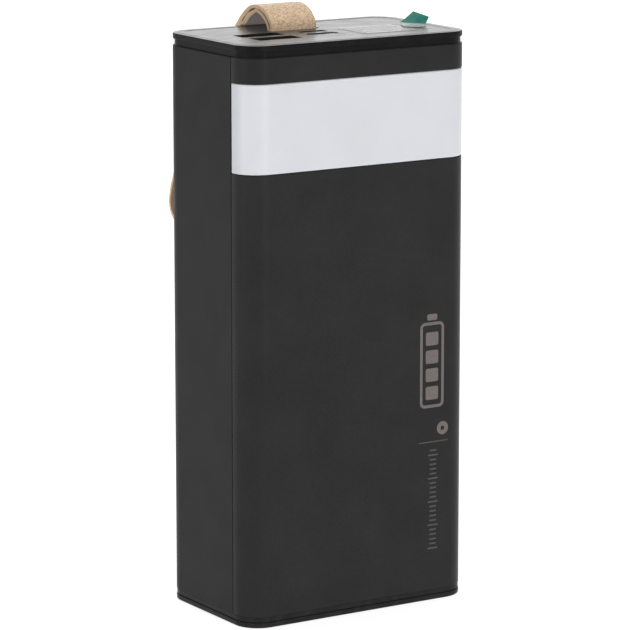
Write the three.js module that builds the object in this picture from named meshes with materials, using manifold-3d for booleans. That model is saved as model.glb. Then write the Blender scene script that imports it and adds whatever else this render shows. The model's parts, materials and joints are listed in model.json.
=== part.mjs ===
// Upright power bank with a wrap-round lamp bar, top-facing USB sockets and a leather wrist strap.
// Millimetres, +Z up. The origin is the centre of the underside, +X is to the user's right,
// and the front (lamp side) looks along -Y.

import * as THREE from 'three';
import { mergeVertices } from 'three/addons/utils/BufferGeometryUtils.js';
import Module from 'manifold-3d';

const wasm = await Module();
wasm.setup();

// ---------------------------------------------------------------- driving dimensions

// Case
const WIDTH = 69.5;
const DEPTH = 42.4;
const TOP_Z = 153;
const CORNER_RADIUS = 7;
const WALL = 2.2;
const SEAM_Y = -13.2;
const SEAM_GAP = 0.3;
const FRONT_Y = -DEPTH / 2;

// Base cap: a full-width foot lip with a slightly narrower neck above it
const BASE_LIP_Z = 1.6;
const BODY_BOTTOM_Z = 2.9;
const BASE_NECK_INSET = 0.35;
const BASE_SPIGOT_TOP_Z = 5;

// Top cap: a narrower band, then the full-width lip, then a low rim round the panel
const BODY_TOP_Z = 149.85;
const LIP_BOTTOM_Z = 151.45;
const BAND_INSET = 0.45;
const RIM_OUTER_INSET = 1.2;
const PANEL_POCKET_INSET = 3;
const RIM_HEIGHT = 0.2;
const CAP_FLOOR_TOP_Z = 151.8;
const CAP_SKIRT_BOTTOM_Z = 145.5;
const CAP_SKIRT_THICKNESS = 1.4;
const FIT_GAP = 0.15;
const PANEL_BOTTOM_Z = CAP_FLOOR_TOP_Z + 0.05;

// Lamp bar
const LAMP_BOTTOM_Z = 119.74;
const LAMP_TOP_Z = 143.18;
const LAMP_THICKNESS = 1.3;
const LAMP_WINDOW_HALF_WIDTH = 26;
const LED_COUNT = 6;
const LED_PITCH = 8;
const LED_SIZE = 3;
const REFLECTOR_HALF = [26.5, 9];
const LED_BOARD_HALF = [26, 8.5];

// Sockets, as centres on the top panel
const USB_A_PLACES = { rear: [-18.1, 0.1], front: [-17.8, -7.9] };
const USB_A_OUTER = [13.1, 5.7];
const USB_A_INNER = [12.5, 5.1];
const USB_A_MOUTH = [12.9, 5.5];
const USB_A_TONGUE = { width: 11.1, thickness: 1.8, offsetY: 0.9, topZ: 148.6 };
const USB_C_PLACE = [-2.4, -6];
const USB_C_OUTER = [8.94, 3.26];
const USB_C_INNER = [8.34, 2.66];
const MICRO_USB_PLACE = [-2.1, -0.7];
const MICRO_USB_OUTER = [7.5, 2.7];
const MICRO_USB_INNER = [6.9, 2.1];
const SMALL_SOCKET_TOP_Z = TOP_Z - 0.3;
const SMALL_TONGUE_TOP_Z = SMALL_SOCKET_TOP_Z - 0.9;
const USB_C_TONGUE = { width: 6.7, thickness: 0.7, offsetY: 0, topZ: SMALL_TONGUE_TOP_Z };
const MICRO_USB_TONGUE = { width: 4, thickness: 0.7, offsetY: 0.3, topZ: SMALL_TONGUE_TOP_Z };
const SOCKET_PLUG_HEIGHT = 2.5;
const SOCKET_MOUTH_GAP = 0.4;
const STATUS_LIGHT_PLACE = [1.5, -9.1];
const STATUS_LIGHT_RADIUS = 0.6;
const STATUS_LIGHT_BOTTOM_Z = 146;

// Button, display and pull-tab film
const BUTTON_PLACE = [26.9, -5];
const BUTTON_RADIUS = 3.2;
const BUTTON_TOP_Z = 153.05;
const BUTTON_TRAVEL = 0.6;
const BUTTON_FLANGE = 0.7;
const BUTTON_STEM_RADIUS = 1.4;
const DISPLAY_X = [7.2, 22.8];
const DISPLAY_Y = [-10.5, 1];
const FILM_X = [6.6, 23.3];
const FILM_Y = [-13, 1.5];
const TAB_PLACE = [27.9, -2.6];
const TAB_WIDTH = 8.2;
const TAB_THICKNESS = 0.2;
const TAB_TURN_DEGREES = 17;
const TAB_LINE = [[-7.5, 0], [-0.6, 0], [0.6, 0.35], [3.9, 2.3]];

// Strap
const STRAP_LEFT_X = -10.55;
const STRAP_WIDTH = 13.9;
const STRAP_THICKNESS = 2;
const STRAP_LAYER = 1;
const STRAP_SLOT_Y = 6;
const STRAP_SIDE_DRIFT = 0.093;
const STRAP_PIVOT = [15, 158.2];
const STRAP_PIVOT_GAP = 1.3;
const STRAP_SLOT_GAP = 0.4;
const PIN_Z = 147.2;
const PIN_RADIUS = 1;
const PIN_OVERHANG = 2.3;
const LUG_GAP = 0.8;
const LUG_THICKNESS = 2.4;
const LUG_HALF_DEPTH = 2.4;

// Electronics and cells
const BOARD_TOP_Z = 140;
const BOARD_THICKNESS = 1.6;
const BOARD_HALF = [30.2, 12.6];
const CELL_COUNT = 3;
const CELL_SIZE = [60, 11.6, 112];
const CELL_BOTTOM_Z = 8;
const CELL_TOP_Z = CELL_BOTTOM_Z + CELL_SIZE[2];
const CELL_PITCH = 12.3;
const CELL_EDGE_RADIUS = 3;
const CELL_TAB = { x: 12, halfWidth: 4, halfThickness: 0.2, height: 4 };
const FOAM_THICKNESS = 0.5;
const FOAM_HALF_WIDTH = 27;
const FOAM_MARGIN = [4, 6];
const PROTECTION_BOARD_HALF = [22, 14];
const PROTECTION_BOARD_Z = [CELL_TOP_Z + 4.1, CELL_TOP_Z + 5.3];
const COIL_PLACES = [[-14, -3], [-4, -3]];
const COIL_RADIUS = 4;
const COIL_HEIGHT = 5;
const CHIP = { x: [6, 12], y: [-6, 0], height: 1 };
const LEAD_RADIUS = 0.75;
const LEAD_BOW = 1.6;
const LAMP_LEAD_RADIUS = 0.6;
const WIRE_STEPS = 12;

// Cell tray and the screws into its bosses
const TRAY_WALL = 1.6;
const TRAY_HALF_WIDTH = 32;
const TRAY_HALF_DEPTH = 15.5;
const TRAY_FLOOR_Z = BASE_SPIGOT_TOP_Z + 0.2;
const TRAY_TOP_Z = BOARD_TOP_Z - BOARD_THICKNESS - 0.1;
const LEDGE_WIDTH = 1.6;
const LEDGE_HALF_LENGTH = 9;
const LEDGE_HEIGHT = 2;
const BOSS_PLACE = [28.4, 13];
const BOSS_RADIUS = 2.3;
const BOSS_TOP_Z = 149.5;
const BOSS_LENGTH_IN_TRAY = 14;
const SCREW_SHAFT_RADIUS = 0.9;
const SCREW_HEAD_RADIUS = 1.9;
const SCREW_HEAD_HEIGHT = 1.05;
const SCREW_DEPTH_IN_BOSS = 6;
const CORNERS = [[-1, -1], [-1, 1], [1, -1], [1, 1]];
const BOSS_PLACES = CORNERS.map(([x, y]) => [x * BOSS_PLACE[0], y * BOSS_PLACE[1]]);

// Joined shapes run this far into each other, so that they make one body
const ROOT_OVERLAP = 0.3;

// Mesh fineness: an arc is drawn with twice its number of arc steps
const CORNER_ARC_STEPS = 5;
const SMALL_ARC_STEPS = 2;
const CIRCLE_ARC_STEPS = 7;
const WIRE_ARC_STEPS = 4;
const ROUND_SIDES = 20;
const SMALL_ROUND_SIDES = 12;
const BEND_STEPS = 14;

// ---------------------------------------------------------------- materials

const finish = (color, roughness, metalness = 0, extra = {}) =>
  new THREE.MeshStandardMaterial({ color, roughness, metalness, ...extra });

const caseTextured = () => finish(0x2f3032, 0.62);
const caseSmooth = () => finish(0x343536, 0.55);
const blackGloss = () => finish(0x121214, 0.12);
const lampWhite = () => finish(0xe4e6ea, 0.35);
const blackPlastic = () => finish(0x1b1b1c, 0.5);
const whitePlastic = () => finish(0xe9e9e6, 0.4);
const steel = () => finish(0xc2c4c6, 0.3, 1);
const circuitGreen = () => finish(0x0f4a2c, 0.45);
const cellFoil = () => finish(0xb4b8bd, 0.35, 0.8);
const foamGrey = () => finish(0x3c3d3f, 0.95);
const tanLeather = () => finish(0xd4b498, 0.6);
const clearFilm = () => finish(0xe8ecef, 0.1, 0, { transparent: true, opacity: 0.35 });
const tabGreen = () => finish(0x2b7d71, 0.4);
const wireRed = () => finish(0xb3201c, 0.45);
const wireBlack = () => finish(0x161616, 0.45);

// ---------------------------------------------------------------- solids

// A closed geometry becomes a manifold solid once only its merged positions are left.
function toSolid(geometry) {
  const bare = geometry.clone();
  bare.deleteAttribute('normal');
  bare.deleteAttribute('uv');
  const merged = mergeVertices(bare, 1e-4);
  return new wasm.Manifold(new wasm.Mesh({
    numProp: 3,
    vertProperties: new Float32Array(merged.attributes.position.array),
    triVerts: new Uint32Array(merged.index.array),
  }));
}

function toGeometry(solid) {
  const mesh = solid.getMesh();
  const geometry = new THREE.BufferGeometry();
  geometry.setAttribute('position', new THREE.BufferAttribute(new Float32Array(mesh.vertProperties), 3));
  geometry.setIndex(new THREE.BufferAttribute(new Uint32Array(mesh.triVerts), 1));
  geometry.computeVertexNormals();
  return geometry;
}

function cut(geometry, ...tools) {
  let solid = toSolid(geometry);
  for (const tool of tools) {
    solid = solid.subtract(toSolid(tool));
  }
  return toGeometry(solid);
}

function join(geometry, ...others) {
  let solid = toSolid(geometry);
  for (const other of others) {
    solid = solid.add(toSolid(other));
  }
  return toGeometry(solid);
}

function keep(geometry, region) {
  return toGeometry(toSolid(geometry).intersect(toSolid(region)));
}

// A rectangle with round corners, centred on (x, y).
function roundedRect(width, depth, radius, x = 0, y = 0) {
  const shape = new THREE.Shape();
  const halfWidth = width / 2 - radius;
  const halfDepth = depth / 2 - radius;
  const quarter = Math.PI / 2;
  shape.absarc(x + halfWidth, y + halfDepth, radius, 0, quarter);
  shape.absarc(x - halfWidth, y + halfDepth, radius, quarter, 2 * quarter);
  shape.absarc(x - halfWidth, y - halfDepth, radius, 2 * quarter, 3 * quarter);
  shape.absarc(x + halfWidth, y - halfDepth, radius, 3 * quarter, 4 * quarter);
  shape.closePath();
  return shape;
}

// The case's plan outline, moved in by inset.
function caseOutline(inset) {
  return roundedRect(WIDTH - 2 * inset, DEPTH - 2 * inset, CORNER_RADIUS - inset);
}

function slab(shape, bottomZ, topZ, curveSegments = CORNER_ARC_STEPS) {
  const geometry = new THREE.ExtrudeGeometry(shape, {
    depth: topZ - bottomZ,
    bevelEnabled: false,
    curveSegments,
  });
  return geometry.translate(0, 0, bottomZ);
}

// The band between two case outlines.
function caseRing(outerInset, innerInset, bottomZ, topZ) {
  const shape = caseOutline(outerInset);
  shape.holes.push(caseOutline(innerInset));
  return slab(shape, bottomZ, topZ);
}

const span = (middle, half) => [middle - half, middle + half];

function box([x0, x1], [y0, y1], [z0, z1]) {
  const geometry = new THREE.BoxGeometry(x1 - x0, y1 - y0, z1 - z0);
  return geometry.translate((x0 + x1) / 2, (y0 + y1) / 2, (z0 + z1) / 2);
}

function post([x, y], radius, bottomZ, topZ, sides = ROUND_SIDES) {
  const geometry = new THREE.CylinderGeometry(radius, radius, topZ - bottomZ, sides);
  return geometry.rotateX(Math.PI / 2).translate(x, y, (bottomZ + topZ) / 2);
}

function roundedPost([width, depth], radius, [x, y], bottomZ, topZ) {
  return slab(roundedRect(width, depth, radius, x, y), bottomZ, topZ, SMALL_ARC_STEPS);
}

function circle(radius, u, v) {
  const shape = new THREE.Shape();
  shape.absarc(u, v, radius, 0, 2 * Math.PI);
  return shape;
}

// An outline drawn as (y, z) and swept along +X from leftX.
function sweepAlongX(shape, leftX, length) {
  const geometry = new THREE.ExtrudeGeometry(shape, {
    depth: length,
    bevelEnabled: false,
    curveSegments: CIRCLE_ARC_STEPS,
  });
  const basis = new THREE.Matrix4().makeBasis(
    new THREE.Vector3(0, 1, 0),
    new THREE.Vector3(0, 0, 1),
    new THREE.Vector3(1, 0, 0),
  );
  return geometry.applyMatrix4(basis).translate(leftX, 0, 0);
}

// A strip of even thickness along a smooth line through the given points.
function stripOutline(points, thickness, steps) {
  const line = new THREE.SplineCurve(points.map(([u, v]) => new THREE.Vector2(u, v)));
  const left = [];
  const right = [];
  for (let i = 0; i <= steps; i += 1) {
    const centre = line.getPointAt(i / steps);
    const along = line.getTangentAt(i / steps);
    const across = new THREE.Vector2(-along.y, along.x).multiplyScalar(thickness / 2);
    left.push(centre.clone().add(across));
    right.push(centre.clone().sub(across));
  }
  return new THREE.Shape([...right, ...left.reverse()]);
}

function wire(points, radius, steps) {
  const path = new THREE.CatmullRomCurve3(points.map((point) => new THREE.Vector3(...point)));
  const section = new THREE.Shape();
  section.absarc(0, 0, radius, 0, 2 * Math.PI);
  return new THREE.ExtrudeGeometry(section, { extrudePath: path, steps, curveSegments: WIRE_ARC_STEPS });
}

const model = new THREE.Group();

function addPart(name, geometry, material) {
  const mesh = new THREE.Mesh(geometry, material);
  mesh.name = name;
  model.add(mesh);
}

// ---------------------------------------------------------------- case shells

const FAR = 200;
const frontRegion = (backY) => box([-FAR, FAR], [-FAR, backY], [-FAR, FAR]);
const rearRegion = (frontY) => box([-FAR, FAR], [frontY, FAR], [-FAR, FAR]);

function frontCover() {
  const wall = caseRing(0, WALL, BODY_BOTTOM_Z, BODY_TOP_Z);
  const lampPocket = caseRing(-1, LAMP_THICKNESS + 0.1, LAMP_BOTTOM_Z, LAMP_TOP_Z);
  const lightWindow = box(
    [-LAMP_WINDOW_HALF_WIDTH, LAMP_WINDOW_HALF_WIDTH],
    [FRONT_Y - 1, FRONT_Y + WALL + 1],
    [LAMP_BOTTOM_Z + 2.5, LAMP_TOP_Z - 2.5],
  );
  return cut(keep(wall, frontRegion(SEAM_Y - SEAM_GAP / 2)), lampPocket, lightWindow);
}

function rearShell() {
  const wall = caseRing(0, WALL, BODY_BOTTOM_Z, BODY_TOP_Z);
  return keep(wall, rearRegion(SEAM_Y + SEAM_GAP / 2));
}

function lampDiffuser() {
  const band = caseRing(0, LAMP_THICKNESS, LAMP_BOTTOM_Z + 0.08, LAMP_TOP_Z - 0.08);
  return keep(band, frontRegion(SEAM_Y - SEAM_GAP / 2));
}

function baseCap() {
  const footEdge = 0.5;
  const foot = slab(caseOutline(footEdge), 0, footEdge + ROOT_OVERLAP);
  const lip = slab(caseOutline(0), footEdge, BASE_LIP_Z);
  const neck = slab(caseOutline(BASE_NECK_INSET), BASE_LIP_Z - ROOT_OVERLAP, BODY_BOTTOM_Z);
  const spigot = caseRing(WALL + FIT_GAP, WALL + 1.6, BODY_BOTTOM_Z - ROOT_OVERLAP, BASE_SPIGOT_TOP_Z);
  return join(foot, lip, neck, spigot);
}

function topCap() {
  const band = slab(caseOutline(BAND_INSET), BODY_TOP_Z, LIP_BOTTOM_Z + ROOT_OVERLAP);
  const lip = slab(caseOutline(0), LIP_BOTTOM_Z, TOP_Z);
  const rim = caseRing(RIM_OUTER_INSET, PANEL_POCKET_INSET, TOP_Z - ROOT_OVERLAP, TOP_Z + RIM_HEIGHT);
  const skirt = caseRing(
    WALL + FIT_GAP,
    WALL + FIT_GAP + CAP_SKIRT_THICKNESS,
    CAP_SKIRT_BOTTOM_Z,
    BODY_TOP_Z + ROOT_OVERLAP,
  );
  const lug = (leftX) => box(
    [leftX, leftX + LUG_THICKNESS],
    span(STRAP_SLOT_Y, LUG_HALF_DEPTH),
    [PIN_Z - 2.2, BODY_TOP_Z + ROOT_OVERLAP],
  );
  const leftLug = lug(STRAP_LEFT_X - LUG_GAP - LUG_THICKNESS);
  const rightLug = lug(STRAP_LEFT_X + STRAP_WIDTH + LUG_GAP);
  const body = join(band, lip, rim, skirt, leftLug, rightLug);

  const holeBottomZ = BODY_TOP_Z - 1;
  const panelPocket = slab(caseOutline(PANEL_POCKET_INSET), CAP_FLOOR_TOP_Z, TOP_Z + 1);
  const socketHole = (place, [width, depth], radius) =>
    roundedPost([width + 0.5, depth + 0.5], radius, place, holeBottomZ, TOP_Z);
  const displayHole = box(
    [DISPLAY_X[0] - 0.4, DISPLAY_X[1] + 0.4],
    [DISPLAY_Y[0] - 0.4, DISPLAY_Y[1] + 0.4],
    [holeBottomZ, TOP_Z],
  );
  const screwHoles = BOSS_PLACES.flatMap((place) => [
    post(place, SCREW_SHAFT_RADIUS + 0.2, holeBottomZ, TOP_Z, SMALL_ROUND_SIDES),
    post(place, SCREW_HEAD_RADIUS + 0.2, CAP_FLOOR_TOP_Z - 1.2, TOP_Z),
  ]);
  return cut(
    body,
    panelPocket,
    socketHole(USB_A_PLACES.rear, USB_A_OUTER, 0.4),
    socketHole(USB_A_PLACES.front, USB_A_OUTER, 0.4),
    socketHole(USB_C_PLACE, USB_C_OUTER, 1.8),
    socketHole(MICRO_USB_PLACE, MICRO_USB_OUTER, 0.6),
    strapSlot(holeBottomZ),
    post(STATUS_LIGHT_PLACE, STATUS_LIGHT_RADIUS + 0.3, holeBottomZ, TOP_Z, SMALL_ROUND_SIDES),
    post(BUTTON_PLACE, BUTTON_RADIUS + 0.2, holeBottomZ, TOP_Z),
    displayHole,
    pinBore(PIN_RADIUS + 0.05, PIN_OVERHANG + 0.1),
    ...screwHoles,
  );
}

// A round bar on the pin's axis, reaching past both sides of the strap.
function pinBore(radius, overhang) {
  const outline = circle(radius, STRAP_SLOT_Y, PIN_Z);
  return sweepAlongX(outline, STRAP_LEFT_X - overhang, STRAP_WIDTH + 2 * overhang);
}

function strapSlot(bottomZ) {
  const sideGap = 0.5;
  return box(
    [STRAP_LEFT_X - sideGap, STRAP_LEFT_X + STRAP_WIDTH + sideGap],
    span(STRAP_SLOT_Y, STRAP_THICKNESS / 2 + STRAP_SLOT_GAP),
    [bottomZ, TOP_Z + 1],
  );
}

function topPanel() {
  const panel = slab(caseOutline(PANEL_POCKET_INSET + FIT_GAP), PANEL_BOTTOM_Z, TOP_Z);
  const bottomZ = PANEL_BOTTOM_Z - 1;
  const topZ = TOP_Z + 1;
  const mouth = (place, [width, depth], grow, radius) =>
    roundedPost([width + grow, depth + grow], radius, place, bottomZ, topZ);
  return cut(
    panel,
    mouth(USB_A_PLACES.rear, USB_A_MOUTH, 0, 0.3),
    mouth(USB_A_PLACES.front, USB_A_MOUTH, 0, 0.3),
    mouth(USB_C_PLACE, USB_C_OUTER, SOCKET_MOUTH_GAP, 1.75),
    mouth(MICRO_USB_PLACE, MICRO_USB_OUTER, SOCKET_MOUTH_GAP, 0.5),
    strapSlot(bottomZ),
    post(STATUS_LIGHT_PLACE, STATUS_LIGHT_RADIUS + 0.15, bottomZ, topZ, SMALL_ROUND_SIDES),
    post(BUTTON_PLACE, BUTTON_RADIUS + 0.15, bottomZ, topZ),
  );
}

addPart('front_cover', frontCover(), caseTextured());
addPart('rear_shell', rearShell(), caseSmooth());
addPart('lamp_diffuser', lampDiffuser(), lampWhite());
addPart('base_cap', baseCap(), blackGloss());
addPart('top_cap', topCap(), blackGloss());
addPart('top_panel', topPanel(), blackGloss());

// Flat-headed screws that hold the top cap down, in counterbores under the panel
function capScrew(place) {
  const headTopZ = CAP_FLOOR_TOP_Z - 0.1;
  const headBottomZ = headTopZ - SCREW_HEAD_HEIGHT;
  const head = post(place, SCREW_HEAD_RADIUS, headBottomZ, headTopZ, SMALL_ROUND_SIDES);
  const shaftBottomZ = BOSS_TOP_Z - SCREW_DEPTH_IN_BOSS;
  const shaft = post(place, SCREW_SHAFT_RADIUS, shaftBottomZ, headTopZ - 0.5, SMALL_ROUND_SIDES);
  return join(head, shaft);
}

BOSS_PLACES.forEach((place, index) => {
  addPart(`top_cap_screw_${index + 1}`, capScrew(place), steel());
});

// ---------------------------------------------------------------- lamp

const LAMP_MIDDLE_Z = (LAMP_BOTTOM_Z + LAMP_TOP_Z) / 2;
const REFLECTOR_Y = [FRONT_Y + WALL + 0.2, FRONT_Y + WALL + 2.6];
const LED_BOARD_Y = [REFLECTOR_Y[1] + 0.1, REFLECTOR_Y[1] + 1.3];
const LED_XS = Array.from({ length: LED_COUNT }, (_, index) => (index - (LED_COUNT - 1) / 2) * LED_PITCH);

function lampReflector() {
  const frame = box(span(0, REFLECTOR_HALF[0]), REFLECTOR_Y, span(LAMP_MIDDLE_Z, REFLECTOR_HALF[1]));
  const cups = LED_XS.map((x) => {
    const cup = new THREE.CylinderGeometry(3.6, 2.3, 4, ROUND_SIDES);
    return cup.rotateX(Math.PI / 2).translate(x, (REFLECTOR_Y[0] + REFLECTOR_Y[1]) / 2, LAMP_MIDDLE_Z);
  });
  return cut(frame, ...cups);
}

addPart('lamp_reflector', lampReflector(), whitePlastic());
addPart(
  'lamp_board',
  box(span(0, LED_BOARD_HALF[0]), LED_BOARD_Y, span(LAMP_MIDDLE_Z, LED_BOARD_HALF[1])),
  circuitGreen(),
);
LED_XS.forEach((x, index) => {
  const led = box(
    span(x, LED_SIZE / 2),
    [LED_BOARD_Y[0] - 0.9, LED_BOARD_Y[0] - 0.02],
    span(LAMP_MIDDLE_Z, LED_SIZE / 2),
  );
  addPart(`lamp_led_${index + 1}`, led, whitePlastic());
});

// ---------------------------------------------------------------- sockets

// A drawn steel socket shell: a rounded tube closed at the board end by a solid plug.
function socketShell(place, outer, inner, outerRadius, topZ) {
  const wallThickness = (outer[0] - inner[0]) / 2;
  const body = roundedPost(outer, outerRadius, place, BOARD_TOP_Z, topZ);
  const hollowBottomZ = BOARD_TOP_Z + SOCKET_PLUG_HEIGHT;
  const hollow = roundedPost(inner, outerRadius - wallThickness, place, hollowBottomZ, topZ + 1);
  return cut(body, hollow);
}

function tongue([x, y], { width, thickness, offsetY, topZ }) {
  return box(
    span(x, width / 2),
    span(y + offsetY, thickness / 2),
    [BOARD_TOP_Z + SOCKET_PLUG_HEIGHT, topZ],
  );
}

for (const [end, place] of Object.entries(USB_A_PLACES)) {
  const shell = socketShell(place, USB_A_OUTER, USB_A_INNER, 0.5, CAP_FLOOR_TOP_Z - 0.05);
  addPart(`usb_a_socket_${end}`, shell, steel());
  addPart(`usb_a_tongue_${end}`, tongue(place, USB_A_TONGUE), whitePlastic());
}

addPart(
  'usb_c_socket',
  socketShell(USB_C_PLACE, USB_C_OUTER, USB_C_INNER, 1.6, SMALL_SOCKET_TOP_Z),
  steel(),
);
addPart('usb_c_tongue', tongue(USB_C_PLACE, USB_C_TONGUE), blackPlastic());

addPart(
  'micro_usb_socket',
  socketShell(MICRO_USB_PLACE, MICRO_USB_OUTER, MICRO_USB_INNER, 0.5, SMALL_SOCKET_TOP_Z),
  steel(),
);
addPart('micro_usb_tongue', tongue(MICRO_USB_PLACE, MICRO_USB_TONGUE), blackPlastic());

// ---------------------------------------------------------------- controls

const SWITCH_BODY_TOP_Z = BOARD_TOP_Z + 3.5;
const BUTTON_STEM_BOTTOM_Z = 147.9;
const SWITCH_STEM_TOP_Z = BUTTON_STEM_BOTTOM_Z - BUTTON_TRAVEL - 0.1;

function powerButton() {
  const stemTopZ = BODY_TOP_Z - 0.5;
  const cap = post(BUTTON_PLACE, BUTTON_RADIUS, stemTopZ, BUTTON_TOP_Z);
  const flange = post(BUTTON_PLACE, BUTTON_RADIUS + BUTTON_FLANGE, stemTopZ - 0.5, stemTopZ + 0.4);
  const stem = post(BUTTON_PLACE, BUTTON_STEM_RADIUS, BUTTON_STEM_BOTTOM_Z, stemTopZ, SMALL_ROUND_SIDES);
  return join(cap, flange, stem);
}

function buttonSwitch() {
  const [x, y] = BUTTON_PLACE;
  const half = 3;
  const body = box(span(x, half), span(y, half), [BOARD_TOP_Z + 0.02, SWITCH_BODY_TOP_Z]);
  const stem = post(BUTTON_PLACE, 1.6, SWITCH_BODY_TOP_Z - 0.5, SWITCH_STEM_TOP_Z, SMALL_ROUND_SIDES);
  return join(body, stem);
}

addPart('power_button', powerButton(), blackGloss());
addPart('button_switch', buttonSwitch(), blackPlastic());
const displayModule = box(DISPLAY_X, DISPLAY_Y, [BODY_TOP_Z - 0.4, CAP_FLOOR_TOP_Z - 0.05]);
addPart('display_module', displayModule, blackPlastic());
addPart(
  'status_light_pipe',
  post(STATUS_LIGHT_PLACE, STATUS_LIGHT_RADIUS, STATUS_LIGHT_BOTTOM_Z, TOP_Z - 0.05, SMALL_ROUND_SIDES),
  whitePlastic(),
);

// Thin protective film over the display, with a coloured pull tab that curls up off the case
const FILM_BOTTOM_Z = TOP_Z + 0.03;
const FILM_TOP_Z = FILM_BOTTOM_Z + 0.12;
addPart('display_film', box(FILM_X, FILM_Y, [FILM_BOTTOM_Z, FILM_TOP_Z]), clearFilm());

function filmTab() {
  const outline = stripOutline(TAB_LINE, TAB_THICKNESS, 10);
  const sheet = new THREE.ExtrudeGeometry(outline, { depth: TAB_WIDTH, bevelEnabled: false });
  return sheet.rotateX(Math.PI / 2)
    .translate(0, TAB_WIDTH / 2, 0)
    .rotateZ(THREE.MathUtils.degToRad(TAB_TURN_DEGREES))
    .translate(...TAB_PLACE, FILM_TOP_Z + TAB_THICKNESS / 2 + 0.03);
}

addPart('film_pull_tab', filmTab(), tabGreen());

// ---------------------------------------------------------------- strap

// The strap drifts to -X as it falls below the pivot, so each point moves sideways by its drop.
function leanSideways(geometry) {
  const position = geometry.attributes.position;
  for (let i = 0; i < position.count; i += 1) {
    const drop = Math.max(0, STRAP_PIVOT[1] - position.getZ(i));
    position.setX(i, position.getX(i) - STRAP_SIDE_DRIFT * drop);
  }
  return geometry;
}

// Fixed part: sewn round the pin, up through the slot and over to the pivot
function strapArch() {
  const rise = [
    [STRAP_SLOT_Y, PIN_Z + 1.6],
    [STRAP_SLOT_Y, TOP_Z - 1],
    [6.5, 154.6],
    [9.9, 156.8],
    [12.4, 157.6],
    [STRAP_PIVOT[0] - STRAP_PIVOT_GAP, STRAP_PIVOT[1] - 0.1],
  ];
  const band = sweepAlongX(stripOutline(rise, STRAP_THICKNESS, BEND_STEPS), STRAP_LEFT_X, STRAP_WIDTH);
  const eye = pinBore(PIN_RADIUS + 0.1 + STRAP_LAYER, 0);
  return cut(join(band, eye), pinBore(PIN_RADIUS + 0.1, 1));
}

// Moving part: both layers together over the back edge, then parted round the hanging loop
function strapLoop() {
  const over = [
    STRAP_PIVOT,
    [17.4, 157.7],
    [20.4, 155.6],
    [22.9, 153],
    [26.4, 148.4],
    [30, 143],
  ];
  const round = [
    [28.4, 145.4],
    [32.4, 140.3],
    [38.6, 132.2],
    [45.6, 120.3],
    [50, 109.2],
    [51, 101.6],
    [47.6, 97.4],
    [43, 98.2],
    [40.6, 103.8],
    [39.4, 113.6],
    [36, 126],
    [31.6, 137.6],
    [28.3, 145],
  ];
  const doubled = sweepAlongX(stripOutline(over, STRAP_THICKNESS, BEND_STEPS), STRAP_LEFT_X, STRAP_WIDTH);
  const loop = sweepAlongX(stripOutline(round, STRAP_LAYER, 3 * BEND_STEPS), STRAP_LEFT_X, STRAP_WIDTH);
  const roundEnd = sweepAlongX(circle(STRAP_THICKNESS / 2, ...STRAP_PIVOT), STRAP_LEFT_X, STRAP_WIDTH);
  return leanSideways(join(doubled, loop, roundEnd));
}

addPart('strap_arch', strapArch(), tanLeather());
addPart('strap_loop', strapLoop(), tanLeather());
addPart('strap_pin', pinBore(PIN_RADIUS, PIN_OVERHANG), steel());

// ---------------------------------------------------------------- inner tray, cells and boards

// A side wall with an inward ledge that carries the main board
function trayWall(side) {
  const between = (from, to) => [Math.min(side * from, side * to), Math.max(side * from, side * to)];
  const innerX = TRAY_HALF_WIDTH - TRAY_WALL;
  const wall = box(between(innerX, TRAY_HALF_WIDTH), span(0, TRAY_HALF_DEPTH), [TRAY_FLOOR_Z, TRAY_TOP_Z]);
  const ledge = box(
    between(innerX - LEDGE_WIDTH, innerX + ROOT_OVERLAP),
    span(0, LEDGE_HALF_LENGTH),
    [TRAY_TOP_Z - LEDGE_HEIGHT, TRAY_TOP_Z],
  );
  return [wall, ledge];
}

function cellTray() {
  const floor = box(
    span(0, TRAY_HALF_WIDTH),
    span(0, TRAY_HALF_DEPTH),
    [TRAY_FLOOR_Z, TRAY_FLOOR_Z + TRAY_WALL],
  );
  const bosses = BOSS_PLACES.map((place) =>
    post(place, BOSS_RADIUS, TRAY_TOP_Z - BOSS_LENGTH_IN_TRAY, BOSS_TOP_Z));
  const threadBottomZ = BOSS_TOP_Z - SCREW_DEPTH_IN_BOSS - 1;
  const threads = BOSS_PLACES.map((place) =>
    post(place, SCREW_SHAFT_RADIUS + 0.08, threadBottomZ, BOSS_TOP_Z + 1, SMALL_ROUND_SIDES));
  return cut(join(floor, ...trayWall(-1), ...trayWall(1), ...bosses), ...threads);
}

// A pouch cell with rounded long edges and two flat tabs at the top
function pouchCell(y) {
  const [width, thickness] = CELL_SIZE;
  const outline = roundedRect(width, thickness, CELL_EDGE_RADIUS, 0, y);
  const pouch = slab(outline, CELL_BOTTOM_Z, CELL_TOP_Z, SMALL_ARC_STEPS);
  const tabs = [-CELL_TAB.x, CELL_TAB.x].map((x) => box(
    span(x, CELL_TAB.halfWidth),
    span(y, CELL_TAB.halfThickness),
    [CELL_TOP_Z - 0.5, CELL_TOP_Z + CELL_TAB.height],
  ));
  return join(pouch, ...tabs);
}

addPart('cell_tray', cellTray(), blackPlastic());
for (let index = 0; index < CELL_COUNT; index += 1) {
  addPart(`battery_cell_${index + 1}`, pouchCell((index - 1) * CELL_PITCH), cellFoil());
}
for (let index = 0; index < CELL_COUNT - 1; index += 1) {
  const pad = box(
    span(0, FOAM_HALF_WIDTH),
    span((index - 0.5) * CELL_PITCH, FOAM_THICKNESS / 2),
    [CELL_BOTTOM_Z + FOAM_MARGIN[0], CELL_TOP_Z - FOAM_MARGIN[1]],
  );
  addPart(`foam_pad_${index + 1}`, pad, foamGrey());
}

const [protectionHalfX, protectionHalfY] = PROTECTION_BOARD_HALF;
const protectionBoard = box(span(0, protectionHalfX), span(0, protectionHalfY), PROTECTION_BOARD_Z);
addPart('protection_board', protectionBoard, circuitGreen());

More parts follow.
